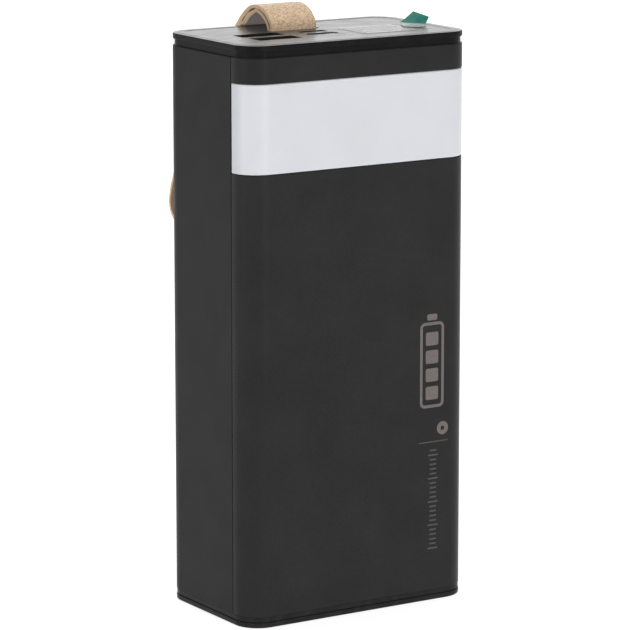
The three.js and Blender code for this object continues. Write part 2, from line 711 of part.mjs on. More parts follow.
function mainBoard() {
  const [halfX, halfY] = BOARD_HALF;
  const sheet = box(span(0, halfX), span(0, halfY), [BOARD_TOP_Z - BOARD_THICKNESS, BOARD_TOP_Z - 0.02]);
  const notches = BOSS_PLACES.map((place) =>
    post(place, BOSS_RADIUS + 0.4, BOARD_TOP_Z - 5, BOARD_TOP_Z + 1));
  return cut(sheet, ...notches);
}

addPart('main_board', mainBoard(), circuitGreen());

const BOARD_UNDERSIDE_Z = BOARD_TOP_Z - BOARD_THICKNESS - 0.02;
COIL_PLACES.forEach((place, index) => {
  const coil = post(place, COIL_RADIUS, BOARD_UNDERSIDE_Z - COIL_HEIGHT, BOARD_UNDERSIDE_Z);
  addPart(`boost_coil_${index + 1}`, coil, foamGrey());
});
const chip = box(CHIP.x, CHIP.y, [BOARD_UNDERSIDE_Z - CHIP.height, BOARD_UNDERSIDE_Z]);
addPart('charge_controller_chip', chip, blackPlastic());

// Leads between the boards, held all the way inside the case
function boardLead(x, y) {
  const lowZ = PROTECTION_BOARD_Z[1] + 0.3;
  const highZ = BOARD_UNDERSIDE_Z - 0.3;
  const path = [[x, y, lowZ], [x, y + LEAD_BOW, lowZ + 3.5], [x, y + LEAD_BOW, highZ - 3.5], [x, y, highZ]];
  return wire(path, LEAD_RADIUS, WIRE_STEPS);
}

addPart('cell_lead_red', boardLead(16, 6), wireRed());
addPart('cell_lead_black', boardLead(20, 6), wireBlack());

const LAMP_LEAD_PATH = [
  [22, LED_BOARD_Y[1] + 0.3, 132],
  [22, LED_BOARD_Y[1] + 2, 132],
  [22, -9, 134.5],
  [22, -9, BOARD_UNDERSIDE_Z - 0.3],
];
addPart('lamp_lead', wire(LAMP_LEAD_PATH, LAMP_LEAD_RADIUS, WIRE_STEPS), wireBlack());

export default model;
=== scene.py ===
"""Looks of an upright power bank with a lamp bar and a wrist strap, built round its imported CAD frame.

Metres, +Z up, the origin at the centre of the underside, the lamp side facing -Y.
"""

import json
import math

import bmesh
import bpy
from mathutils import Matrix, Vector
from mathutils.geometry import tessellate_polygon


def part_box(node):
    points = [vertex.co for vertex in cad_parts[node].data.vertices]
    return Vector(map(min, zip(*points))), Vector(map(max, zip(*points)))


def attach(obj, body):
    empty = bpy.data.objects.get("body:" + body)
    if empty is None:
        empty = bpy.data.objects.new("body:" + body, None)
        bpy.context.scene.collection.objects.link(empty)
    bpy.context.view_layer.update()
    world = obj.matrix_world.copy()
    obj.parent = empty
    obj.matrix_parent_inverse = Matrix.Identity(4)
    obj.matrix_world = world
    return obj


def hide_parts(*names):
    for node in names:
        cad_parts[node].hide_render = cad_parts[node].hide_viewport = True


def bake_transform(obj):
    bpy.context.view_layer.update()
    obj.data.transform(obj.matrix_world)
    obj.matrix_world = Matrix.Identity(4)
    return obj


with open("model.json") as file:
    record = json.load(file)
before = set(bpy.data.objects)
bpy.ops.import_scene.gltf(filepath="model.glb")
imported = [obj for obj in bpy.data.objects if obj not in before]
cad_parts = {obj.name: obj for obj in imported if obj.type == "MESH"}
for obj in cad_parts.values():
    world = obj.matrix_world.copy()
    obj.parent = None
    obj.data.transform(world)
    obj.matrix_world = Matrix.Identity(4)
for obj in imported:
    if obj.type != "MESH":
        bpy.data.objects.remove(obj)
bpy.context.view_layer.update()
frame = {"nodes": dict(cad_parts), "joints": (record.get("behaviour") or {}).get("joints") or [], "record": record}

MM = 0.001

# ------------------------------------ sizes, from the frame

CASE_LOW, CASE_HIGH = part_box("base_cap")
HALF_WIDTH = (CASE_HIGH.x - CASE_LOW.x) / 2
HALF_DEPTH = (CASE_HIGH.y - CASE_LOW.y) / 2
FRONT_Y = CASE_LOW.y
CORNER_RADIUS = 7 * MM

FRONT_LOW, FRONT_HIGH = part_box("front_cover")
REAR_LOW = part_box("rear_shell")[0]
BODY_BOTTOM = FRONT_LOW.z
BODY_TOP = FRONT_HIGH.z
SEAM_Y = (FRONT_HIGH.y + REAR_LOW.y) / 2
SEAM_GAP = 0.05 * MM
WALL = 2.2 * MM

LAMP_LOW, LAMP_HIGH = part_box("lamp_diffuser")
LAMP_THICKNESS = 1.3 * MM

PANEL_LOW, PANEL_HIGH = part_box("top_panel")
TOP = PANEL_HIGH.z
PANEL_INSET = HALF_WIDTH - PANEL_HIGH.x
LIP_BOTTOM = TOP - 1.55 * MM
BAND_INSET = 0.45 * MM
RIM_HEIGHT = 0.1 * MM
BASE_LIP_TOP = 1.6 * MM
PANEL_MARGIN = 0.1 * MM
PANEL_EDGE = 0.06 * MM

SHELL_EDGE = 0.18 * MM
SHELL_BOTTOM_EDGE = 0.3 * MM
SHELL_TOP_EDGE = 0.35 * MM
LAMP_GAP = 0.08 * MM
LAMP_EDGE = 0.35 * MM
LAMP_END_EDGE = 0.45 * MM
# How far the painted shade at each end of the lamp bar reaches
LAMP_PAINTED_SHADE_LENGTH = 4.5 * MM

PIVOT = Vector(frame["joints"][1]["pos_m"])
STRAP_LOW, STRAP_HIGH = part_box("strap_arch")
STRAP_WIDTH = STRAP_HIGH.x - STRAP_LOW.x
STRAP_X = (STRAP_HIGH.x + STRAP_LOW.x) / 2
STRAP_SLOT_WIDTH = STRAP_WIDTH + 1 * MM
STRAP_SLOT_DEPTH = 2.8 * MM
STRAP_SLOT_CORNER = 0.5 * MM
STRAP_SLOT_SHIFT = 0.2 * MM

# How far the hanging strap drifts toward -X for each metre it hangs below the pivot, in metres
STRAP_SIDE_DRIFT = 0.093

CORNER_STEPS = 20
HOLE_STEPS = 8

# A circle is drawn as a square whose corners are this share of fully round, so no side has zero length
ROUND_SHARE = 0.999


def centre(node):
    """The middle of a CAD node's box."""
    low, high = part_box(node)
    return (low + high) / 2


# ------------------------------------ camera

CAMERA_AZIMUTH = math.radians(-32.44)
CAMERA_ELEVATION = math.radians(11.135)
CAMERA_DISTANCE = 976.7 * MM
CAMERA_LENS = 209.5
SENSOR_WIDTH = 36
CAMERA_TARGET = Vector((0, 0, 76.95 * MM))
CAMERA_SHIFT_X = -0.0046


def make_camera():
    """A long lens, aimed at the target from in front and to the left."""
    data = bpy.data.cameras.new("camera")
    data.lens = CAMERA_LENS
    data.sensor_width = SENSOR_WIDTH
    data.shift_x = CAMERA_SHIFT_X
    camera = bpy.data.objects.new("camera", data)
    bpy.context.scene.collection.objects.link(camera)
    back = Vector((
        math.sin(CAMERA_AZIMUTH) * math.cos(CAMERA_ELEVATION),
        -math.cos(CAMERA_AZIMUTH) * math.cos(CAMERA_ELEVATION),
        math.sin(CAMERA_ELEVATION),
    ))
    camera.location = CAMERA_TARGET + back * CAMERA_DISTANCE
    camera.rotation_mode = "QUATERNION"
    camera.rotation_quaternion = (-back).to_track_quat("-Z", "Y")
    bpy.context.scene.camera = camera


make_camera()

# ------------------------------------ materials

# Most of a noise texture's values lie between these
NOISE_LOW = 0.3
NOISE_HIGH = 0.7

# The wave texture takes the sine of this many times the scaled position
WAVE_RATE = 20


class Surface:
    """A Principled material with helpers that add procedural detail in the object's own metres."""

    def __init__(self, name, color, roughness, metallic=0.0):
        self.material = bpy.data.materials.new(name)
        self.material.use_nodes = True
        self.nodes = self.material.node_tree.nodes
        self.links = self.material.node_tree.links
        self.shader = self.nodes["Principled BSDF"]
        self.color = color
        self.set("Base Color", (*color, 1))
        self.set("Roughness", roughness)
        self.set("Metallic", metallic)
        self.coordinates = self.nodes.new("ShaderNodeTexCoord").outputs["Object"]
        self.bump_normal = None

    def set(self, socket, value):
        self.shader.inputs[socket].default_value = value
        return self

    def mapped(self, scale=(1, 1, 1), turn=(0, 0, 0)):
        """The coordinates, scaled and turned. A scale under 1 stretches a pattern along that axis."""
        mapping = self.nodes.new("ShaderNodeMapping")
        mapping.inputs["Scale"].default_value = scale
        mapping.inputs["Rotation"].default_value = turn
        self.links.new(self.coordinates, mapping.inputs["Vector"])
        return mapping.outputs["Vector"]

    def noise(self, size, detail=3.0, rough=0.5, vector=None):
        """Noise whose blobs are about size metres across."""
        node = self.nodes.new("ShaderNodeTexNoise")
        node.inputs["Scale"].default_value = 1 / size
        node.inputs["Detail"].default_value = detail
        node.inputs["Roughness"].default_value = rough
        self.links.new(vector or self.coordinates, node.inputs["Vector"])
        return node.outputs["Fac"]

    def cells(self, size, output="Distance", feature="F1", vector=None):
        """A pattern of cells about size metres across."""
        node = self.nodes.new("ShaderNodeTexVoronoi")
        node.feature = feature
        node.inputs["Scale"].default_value = 1 / size
        self.links.new(vector or self.coordinates, node.inputs["Vector"])
        return node.outputs[output]

    def stripes(self, size, turn, distortion=0.0):
        """Bands that repeat every size metres."""
        node = self.nodes.new("ShaderNodeTexWave")
        node.inputs["Scale"].default_value = math.tau / WAVE_RATE / size
        node.inputs["Distortion"].default_value = distortion
        self.links.new(self.mapped(turn=turn), node.inputs["Vector"])
        return node.outputs["Fac"]

    def spread(self, value, low, high, new_low, new_high):
        """Maps the range from low to high onto the one from new_low to new_high."""
        node = self.nodes.new("ShaderNodeMapRange")
        limits = {"From Min": low, "From Max": high, "To Min": new_low, "To Max": new_high}
        for socket, number in limits.items():
            node.inputs[socket].default_value = number
        self.links.new(value, node.inputs["Value"])
        return node.outputs["Result"]

    def between(self, noise, low, high):
        """Stretches the range that noise mostly keeps to, so that it runs from low to high."""
        return self.spread(noise, NOISE_LOW, NOISE_HIGH, low, high)

    def combine(self, first, second, operation="ADD"):
        node = self.nodes.new("ShaderNodeMath")
        node.operation = operation
        for socket, value in zip(node.inputs, (first, second)):
            if isinstance(value, (int, float)):
                socket.default_value = value
            else:
                self.links.new(value, socket)
        return node.outputs["Value"]

    def mix(self, factor, first, second):
        node = self.nodes.new("ShaderNodeMix")
        node.data_type = "RGBA"
        self.links.new(factor, node.inputs[0])
        for socket, value in ((node.inputs[6], first), (node.inputs[7], second)):
            if isinstance(value, tuple):
                socket.default_value = (*value, 1)
            else:
                self.links.new(value, socket)
        return node.outputs[2]

    def paint(self, value):
        self.links.new(value, self.shader.inputs["Base Color"])
        return self

    def paint_shades(self, share, first, second):
        """Paints the material's colour times first where share is 0, and times second where it is 1."""
        return self.paint(self.mix(share, shade(self.color, first), shade(self.color, second)))

    def roughen(self, value):
        self.links.new(value, self.shader.inputs["Roughness"])
        return self

    def bump(self, height, depth, strength=1.0):
        """Each call adds relief of the given depth in metres on top of the last."""
        node = self.nodes.new("ShaderNodeBump")
        node.inputs["Distance"].default_value = depth
        node.inputs["Strength"].default_value = strength
        self.links.new(height, node.inputs["Height"])
        if self.bump_normal:
            self.links.new(self.bump_normal, node.inputs["Normal"])
        self.bump_normal = node.outputs["Normal"]
        self.links.new(self.bump_normal, self.shader.inputs["Normal"])
        return self


def shade(color, factor):
    return tuple(channel * factor for channel in color)


def textured_case():
    """Black plastic moulded in a fine crossed grain, with faint sparkle."""
    surface = Surface("case_textured", (0.0258, 0.0258, 0.0262), 0.5)
    surface.set("Specular IOR Level", 0.06)
    crossed = surface.combine(
        surface.stripes(0.42 * MM, (0, math.radians(45), 0), 1.5),
        surface.stripes(0.42 * MM, (0, math.radians(-45), 0), 1.5),
        "MULTIPLY",
    )
    grain = surface.noise(0.22 * MM, 2)
    cloud = surface.noise(14 * MM, 4)
    tone = surface.combine(surface.between(grain, 0, 0.6), surface.between(cloud, 0, 0.4))
    surface.paint_shades(tone, 0.78, 1.3)
    surface.roughen(surface.spread(surface.combine(grain, crossed, "MULTIPLY"), 0, 0.6, 0.27, 0.45))
    surface.bump(crossed, 0.03 * MM, 0.35)
    surface.bump(grain, 0.03 * MM, 0.45)
    return surface.material


def smooth_case():
    """Black plastic with the fine even grain of a spark-eroded mould."""
    surface = Surface("case_smooth", (0.0060, 0.0060, 0.0062), 0.5)
    surface.set("Specular IOR Level", 0.135)
    grain = surface.noise(0.16 * MM, 2)
    cloud = surface.noise(25 * MM, 4)
    surface.paint_shades(surface.between(cloud, 0, 1), 0.9, 1.12)
    surface.roughen(surface.between(surface.noise(8 * MM, 5), 0.44, 0.49))
    surface.bump(grain, 0.02 * MM, 0.3)
    return surface.material


def gloss_black():
    """Glossy black moulding with faint handling smears."""
    surface = Surface("gloss_black", (0.009, 0.009, 0.0096), 0.16)
    surface.set("Specular IOR Level", 0.045)
    smear = surface.noise(6 * MM, 6, 0.6, surface.mapped((1, 1, 2.5)))
    surface.paint_shades(surface.spread(smear, 0.4, 0.7, 0, 1), 1, 1.5)
    surface.roughen(surface.between(smear, 0.12, 0.24))
    surface.bump(surface.noise(0.5 * MM, 2), 0.004 * MM, 0.5)
    return surface.material


def satin_black(name, color):
    """Satin black moulding, a little worn."""
    surface = Surface(name, color, 0.34)
    surface.set("Specular IOR Level", 0.06)
    wear = surface.noise(3 * MM, 5)
    surface.paint_shades(surface.spread(wear, 0.4, 0.7, 0, 1), 1, 1.5)
    surface.roughen(surface.between(wear, 0.28, 0.42))
    surface.bump(surface.noise(0.2 * MM, 2), 0.01 * MM, 0.3)
    return surface.material


def polished_panel():
    """Polished black sheet with wipe marks and hairline scratches."""
    surface = Surface("panel_gloss", (0.010, 0.010, 0.011), 0.10)
    surface.set("Specular IOR Level", 0.5)
    wipe = surface.noise(9 * MM, 5, 0.6, surface.mapped((1, 3, 1), (0, 0, 0.5)))
    scratches = surface.noise(0.25 * MM, 1, 0.5, surface.mapped((0.04, 1, 1), (0, 0, 0.35)))
    surface.paint_shades(surface.spread(wipe, 0.4, 0.7, 0, 1), 1, 1.8)
    surface.roughen(surface.between(wipe, 0.24, 0.34))
    surface.bump(surface.spread(scratches, 0.62, 0.82, 0, 1), 0.001 * MM, 0.2)
    return surface.material


def milky_diffuser():
    """Milky plastic that lets light bleed a little way in, with painted shade darkening it toward its two ends."""
    surface = Surface("lamp_white", (0.685, 0.70, 0.735), 0.34)
    surface.set("Subsurface Weight", 0.25)
    surface.set("Subsurface Radius", (1.2 * MM, 1.2 * MM, 1.3 * MM))
    surface.set("Subsurface Scale", 1.0)
    cloud = surface.noise(18 * MM, 3)
    white = surface.mix(
        surface.between(cloud, 0, 1), shade(surface.color, 0.97), shade(surface.color, 1.03),
    )
    place = surface.nodes.new("ShaderNodeSeparateXYZ")
    surface.links.new(surface.coordinates, place.inputs["Vector"])
    # Painted shade: the colour darkens to 0.74 of its tone over the last stretch before the seam, at both ends of
    # the bar.
    painted_shade_near_seam = surface.spread(place.outputs["Y"], SEAM_Y - LAMP_PAINTED_SHADE_LENGTH, SEAM_Y, 0, 1)
    surface.paint(surface.mix(painted_shade_near_seam, white, shade(surface.color, 0.74)))
    surface.roughen(surface.between(surface.noise(5 * MM, 4), 0.28, 0.4))
    surface.bump(surface.noise(0.14 * MM, 1), 0.01 * MM, 0.15)
    return surface.material


def plain_plastic(name, color, roughness):
    """Moulded plastic with light grain and slight tone variation."""
    surface = Surface(name, color, roughness)
    cloud = surface.noise(4 * MM, 4)
    surface.paint_shades(surface.between(cloud, 0, 1), 0.86, 1.12)
    surface.roughen(surface.between(surface.noise(1.5 * MM, 3), roughness - 0.08, roughness + 0.1))
    surface.bump(surface.noise(0.2 * MM, 2), 0.01 * MM, 0.3)
    return surface.material


def metal(name, color, roughness, grain=(1, 1, 0.06)):
    """Drawn or plated metal with fine lines along its length and faint tarnish."""
    surface = Surface(name, color, roughness, 1.0)
    lines = surface.noise(0.12 * MM, 2, 0.5, surface.mapped(grain))
    tarnish = surface.noise(2 * MM, 5)
    surface.paint_shades(surface.spread(tarnish, 0.35, 0.75, 0, 1), 1, 0.78)
    surface.roughen(surface.between(lines, roughness - 0.06, roughness + 0.12))
    surface.bump(lines, 0.004 * MM, 0.4)
    return surface.material


def circuit_board():
    """Green solder mask over faint copper tracks."""
    surface = Surface("circuit_board", (0.012, 0.09, 0.045), 0.32)
    tracks = surface.cells(2.4 * MM, "Distance", "DISTANCE_TO_EDGE")
    track_mask = surface.spread(tracks, 0.04, 0.07, 1, 0)
    surface.paint(surface.mix(track_mask, surface.color, (0.03, 0.17, 0.07)))
    surface.roughen(surface.between(surface.noise(3 * MM, 4), 0.25, 0.42))
    surface.bump(track_mask, 0.02 * MM, 0.5)
    return surface.material


def pouch_foil():
    """Embossed aluminium laminate of a pouch cell, softly wrinkled."""
    surface = Surface("cell_foil", (0.56, 0.57, 0.59), 0.36, 0.85)
    emboss = surface.cells(0.7 * MM, vector=surface.mapped((1, 1, 1), (0.4, 0.3, 0)))
    wrinkles = surface.noise(7 * MM, 4)
    surface.paint_shades(surface.between(wrinkles, 0, 1), 0.88, 1.08)
    surface.roughen(surface.between(wrinkles, 0.28, 0.46))
    surface.bump(wrinkles, 0.25 * MM, 0.5)
    surface.bump(emboss, 0.03 * MM, 0.4)
    return surface.material


def foam():
    """Closed-cell foam."""
    surface = Surface("foam", (0.05, 0.05, 0.055), 0.95)
    pores = surface.cells(0.4 * MM)
    surface.paint_shades(surface.spread(pores, 0.1, 0.6, 0, 1), 0.6, 1.3)
    surface.roughen(surface.between(surface.noise(1 * MM), 0.88, 0.98))
    surface.bump(pores, 0.1 * MM, 0.7)
    return surface.material


LEATHER_TAN = (0.86, 0.575, 0.365)


def glitter_leather():
    """Tan coated leather set with fine pale and golden flakes, over a pebbled grain."""
    surface = Surface("strap_leather", LEATHER_TAN, 0.5)
    flakes = surface.cells(0.24 * MM, "Color")
    split = surface.nodes.new("ShaderNodeSeparateColor")
    surface.links.new(flakes, split.inputs["Color"])
    pick, tone, tilt = split.outputs["Red"], split.outputs["Green"], split.outputs["Blue"]
    cloud = surface.noise(3 * MM, 4)
    base = surface.mix(surface.between(cloud, 0, 1), shade(LEATHER_TAN, 0.86), shade(LEATHER_TAN, 1.1))
    dotted = surface.mix(surface.spread(tone, 0, 1, 0, 0.55), base, (0.90, 0.66, 0.43))
    dark = surface.mix(surface.spread(pick, 0.72, 0.80, 0, 0.62), dotted, (0.36, 0.20, 0.085))
    pale = surface.mix(surface.spread(pick, 0.26, 0.18, 0, 0.75), dark, (0.98, 0.86, 0.62))
    surface.paint(pale)
    surface.roughen(surface.spread(tilt, 0, 1, 0.3, 0.68))
    surface.bump(tilt, 0.06 * MM, 0.5)
    surface.bump(surface.noise(0.8 * MM, 3), 0.08 * MM, 0.35)
    return surface.material


def leather_lining(name, color, painted_glow=0.0):
    """Woven backing of the strap. With emission it also serves for the arch's inner face, as painted shade and
    painted light.
    """
    surface = Surface(name, color, 0.8)
    weave = surface.combine(
        surface.stripes(0.35 * MM, (0, 0, 0)),
        surface.stripes(0.35 * MM, (0, math.radians(90), 0)),
        "MULTIPLY",
    )
    surface.paint_shades(weave, 0.75, 1.1)
    surface.roughen(surface.between(surface.noise(1 * MM), 0.72, 0.88))
    surface.bump(weave, 0.06 * MM, 0.5)
    # Emission here is painted light on a shaded face that is no lamp.
    if painted_glow:
        surface.set("Emission Color", (*color, 1))
        surface.set("Emission Strength", painted_glow)
    return surface.material


def strap_edge(name, color):
    """Cut edge of the strap, with fibres and flecks. In pale cream it also makes a painted highlight line."""
    surface = Surface(name, color, 0.6)
    fibres = surface.noise(0.3 * MM, 3)
    surface.paint_shades(surface.spread(fibres, 0.35, 0.7, 0, 1), 1.12, 0.62)
    surface.roughen(surface.between(fibres, 0.5, 0.75))
    surface.bump(fibres, 0.08 * MM, 0.5)
    return surface.material


def clear_film(name, color, alpha):
    """Thin clear film with soft ripples."""
    surface = Surface(name, color, 0.08)
    surface.set("Alpha", alpha)
    ripples = surface.noise(9 * MM, 1)
    surface.roughen(surface.between(ripples, 0.22, 0.32))
    surface.paint(surface.mix(ripples, shade(surface.color, 0.95), surface.color))
    surface.bump(ripples, 0.003 * MM, 0.1)
    return surface.material


def green_tab():
    """Green printed film with a slight streak."""
    surface = Surface("tab_green", (0.018, 0.215, 0.165), 0.3)
    surface.set("Specular IOR Level", 0.12)
    streak = surface.noise(1.2 * MM, 3, 0.5, surface.mapped((0.3, 1, 1)))
    surface.paint_shades(surface.between(streak, 0, 1), 0.85, 1.15)
    surface.roughen(surface.between(streak, 0.24, 0.4))
    surface.bump(streak, 0.02 * MM, 0.3)
    return surface.material


def print_ink(name, color):
    """Pad-printed ink, slightly speckled."""
    surface = Surface(name, color, 0.45)
    surface.set("Specular IOR Level", 0.25)
    speckle = surface.noise(0.3 * MM, 3)
    surface.paint_shades(surface.spread(speckle, 0.35, 0.7, 0, 1), 1, 0.7)
    surface.roughen(surface.between(speckle, 0.38, 0.55))
    surface.bump(speckle, 0.01 * MM, 0.3)
    return surface.material


MATERIALS = {
    "case_textured": textured_case(),
    "case_smooth": smooth_case(),
    "gloss_black": gloss_black(),
    "band_black": satin_black("band_black", (0.0085, 0.0085, 0.0088)),
    "base_black": satin_black("base_black", (0.0185, 0.0185, 0.0188)),
    "panel_gloss": polished_panel(),
    "lamp_white": milky_diffuser(),
    "white_plastic": plain_plastic("white_plastic", (0.72, 0.72, 0.70), 0.42),
    "black_plastic": plain_plastic("black_plastic", (0.016, 0.016, 0.017), 0.5),
    "steel": metal("steel", (0.62, 0.63, 0.64), 0.26),
    "gold": metal("gold_contact", (0.80, 0.56, 0.25), 0.22, (1, 0.06, 1)),
    "circuit_board": circuit_board(),
    "led_phosphor": plain_plastic("led_phosphor", (0.80, 0.66, 0.16), 0.3),
    "cell_foil": pouch_foil(),
    "foam": foam(),
    "ferrite": plain_plastic("ferrite", (0.03, 0.03, 0.032), 0.7),
    "strap_leather": glitter_leather(),
    "strap_lining": leather_lining("strap_lining", (0.62, 0.47, 0.33)),
    # The arch's inner face: a grey-brown stand-in for the tan leather in shade, brightened by emission that is
    # painted light.
    "strap_inside_painted_shade_glow": leather_lining("strap_inside_painted_shade_glow", (0.52, 0.45, 0.43), 0.18),
    "strap_edge": strap_edge("strap_edge", (0.76, 0.53, 0.33)),
    # A pale cream strip along the inner layer's edge: a painted highlight on the crease.
    "strap_painted_highlight_line": strap_edge("strap_painted_highlight_line", (0.95, 0.82, 0.66)),
    "clear_film": clear_film("clear_film", (0.80, 0.80, 0.81), 0.3),
    "milky_film": clear_film("milky_film", (0.50, 0.62, 0.60), 0.55),
    "tab_green": green_tab(),
    "wire_red": plain_plastic("wire_red", (0.42, 0.018, 0.016), 0.45),
    "wire_black": plain_plastic("wire_black", (0.016, 0.016, 0.017), 0.45),
    "print_ink": print_ink("print_ink", (0.185, 0.16, 0.15)),
    "faint_ink": print_ink("faint_ink", (0.095, 0.085, 0.082)),
}

# ------------------------------------ mesh helpers


def make_piece(name, mesh_data, body, materials, replaces=(), smooth_angle=40):
    """Makes an object from a bmesh, smooths it, gives it its body and materials, and hides the CAD nodes it
    replaces.
    """
    bmesh.ops.remove_doubles(mesh_data, verts=mesh_data.verts, dist=1e-7)
    bmesh.ops.recalc_face_normals(mesh_data, faces=mesh_data.faces)
    mesh = bpy.data.meshes.new(name)
    mesh_data.to_mesh(mesh)
    mesh_data.free()
    for material in materials:
        mesh.materials.append(MATERIALS[material])
    mesh.polygons.foreach_set("use_smooth", [True] * len(mesh.polygons))
    mesh.set_sharp_from_angle(angle=math.radians(smooth_angle))
    piece = bpy.data.objects.new(name, mesh)
    bpy.context.scene.collection.objects.link(piece)
    weighted = piece.modifiers.new("even_normals", "WEIGHTED_NORMAL")
    weighted.keep_sharp = True
    if body:
        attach(piece, body)
    if replaces:
        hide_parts(*replaces)
    return piece


def rounded_stations(x, y, width, depth, radius, steps=HOLE_STEPS):
    """Points round a rectangle with round corners, each with its inward direction, counter-clockwise."""
    stations = []
    for quarter, (side_x, side_y) in enumerate(((1, 1), (-1, 1), (-1, -1), (1, -1))):
        corner = Vector((x + side_x * (width / 2 - radius), y + side_y * (depth / 2 - radius)))
        for step in range(steps + 1):
            angle = (quarter + step / steps) * math.pi / 2
            outward = Vector((math.cos(angle), math.sin(angle)))
            stations.append((corner + outward * radius, -outward))
    return stations


CASE_STATIONS = rounded_stations(0, 0, 2 * HALF_WIDTH, 2 * HALF_DEPTH, CORNER_RADIUS, CORNER_STEPS)
INWARD_FROM_RIGHT = Vector((-1, 0))
INWARD_FROM_LEFT = Vector((1, 0))


def front_stations():
    """The case outline from the left seam round the front to the right seam."""
    y = SEAM_Y - SEAM_GAP
    part = [station for station in CASE_STATIONS if station[0].y < y]
    left = [(Vector((-HALF_WIDTH, y)), INWARD_FROM_LEFT)]
    right = [(Vector((HALF_WIDTH, y)), INWARD_FROM_RIGHT)]
    return left + part + right


def rear_stations():
    """The case outline from the right seam round the back to the left seam."""
    y = SEAM_Y + SEAM_GAP
    part = [station for station in CASE_STATIONS if station[0].y > y]
    right = [(Vector((HALF_WIDTH, y)), INWARD_FROM_RIGHT)]
    left = [(Vector((-HALF_WIDTH, y)), INWARD_FROM_LEFT)]
    return right + part + left


def fillet(corners, steps=4):
    """Rounds a closed outline. Each corner is (u, v, radius)."""
    outline = []
    count = len(corners)
    for index, (u, v, radius) in enumerate(corners):
        here = Vector((u, v))
        if radius == 0:
            outline.append(here)
            continue
        before = (Vector(corners[index - 1][:2]) - here).normalized()
        after = (Vector(corners[(index + 1) % count][:2]) - here).normalized()
        half = before.angle(after) / 2
        reach = radius / math.tan(half)
        middle = here + (before + after).normalized() * radius / math.sin(half)
        start = here + before * reach - middle
        finish = here + after * reach - middle
        for step in range(steps + 1):
            outline.append(middle + start.slerp(finish, step / steps).normalized() * radius)
    return outline


def quarter_round(radius, steps=3):
    """Pairs that go round a quarter circle: (radius, 0) first and (0, radius) last."""
    pairs = []
    for step in range(steps + 1):
        angle = step / steps * math.pi / 2
        pairs.append((radius * (1 - math.sin(angle)), radius * (1 - math.cos(angle))))
    return pairs


def rounded_ends(stations, radius):
    """Extra stations near both ends of an open path, each with the inset that rounds the edge there."""
    plain = [(point, inward, 0) for point, inward in stations]
    first, last = plain[0], plain[-1]
    start_along = (plain[1][0] - first[0]).normalized()
    end_along = (plain[-2][0] - last[0]).normalized()
    head = []
    tail = []
    for back, inset in quarter_round(radius):
        head.append((first[0] + start_along * back, first[1], inset))
        tail.append((last[0] + end_along * back, last[1], inset))
    return list(reversed(head)) + plain[1:-1] + tail


def join_rings(mesh, rings):
    """Adds the faces between each closed ring of points and the next."""
    for ring, following in zip(rings, rings[1:]):
        for index in range(len(ring)):
            after = (index + 1) % len(ring)
            mesh.faces.new((ring[index], ring[after], following[after], following[index]))


def sweep(stations, profile, closed=True, end_radius=0.0):
    """Sweeps a closed (inset, height) profile round the stations."""
    if closed:
        places = [(point, inward, 0) for point, inward in stations]
    else:
        places = rounded_ends(stations, end_radius)
    mesh = bmesh.new()
    rings = []
    for point, inward, least_inset in places:
        ring = []
        for inset, height in profile:
            spot = point + inward * max(inset, least_inset)
            ring.append(mesh.verts.new((spot.x, spot.y, height)))
        rings.append(ring)
    if closed:
        join_rings(mesh, rings + rings[:1])
    else:
        join_rings(mesh, rings)
        mesh.faces.new(rings[0])
        mesh.faces.new(rings[-1])
    return mesh


def lathe_plate(stations, profile):
    """Rings of (inset, height) round the stations, closed by flat faces across the first and last ring."""
    mesh = bmesh.new()
    rings = []
    for inset, height in profile:
        ring = []
        for point, inward in stations:
            spot = point + inward * inset
            ring.append(mesh.verts.new((spot.x, spot.y, height)))
        rings.append(ring)
    join_rings(mesh, rings)
    mesh.faces.new(rings[0])
    mesh.faces.new(rings[-1])
    return mesh


def holed_plate(outer, holes, low, high, edge):
    """A plate with holes, its upper edges rounded by edge."""
    mesh = bmesh.new()
    tops = []
    bottoms = []
    for stations, side in [(outer, 1)] + [(hole, -1) for hole in holes]:
        rings = []
        for inset, drop in quarter_round(edge):
            points = [point + inward * inset * side for point, inward in stations]
            rings.append([mesh.verts.new((p.x, p.y, high - drop)) for p in points])
        rings.append([mesh.verts.new((point.x, point.y, low)) for point, inward in stations])
        join_rings(mesh, rings)
        tops.append(rings[0])
        bottoms.append(rings[-1])
    for loops in (tops, bottoms):
        flat = [vert for loop in loops for vert in loop]
        outlines = [[vert.co.copy() for vert in loop] for loop in loops]
        for triangle in tessellate_polygon(outlines):
            mesh.faces.new([flat[index] for index in triangle])
    return mesh


def soft_box(low, high, radius, steps=3):
    """A box with rounded edges."""
    mesh = bmesh.new()
    bmesh.ops.create_cube(mesh, size=1)
    size = high - low
    middle = (high + low) / 2
    for vert in mesh.verts:
        vert.co = Vector((vert.co.x * size.x, vert.co.y * size.y, vert.co.z * size.z)) + middle
    bmesh.ops.bevel(mesh, geom=mesh.edges[:], offset=radius, segments=steps, profile=0.5, affect="EDGES")
    return mesh


def merge(*meshes):
    """One bmesh holding all the given ones."""
    whole = bmesh.new()
    for part in meshes:
        holder = bpy.data.meshes.new("holder")
        part.to_mesh(holder)
        part.free()
        whole.from_mesh(holder)
        bpy.data.meshes.remove(holder)
    return whole


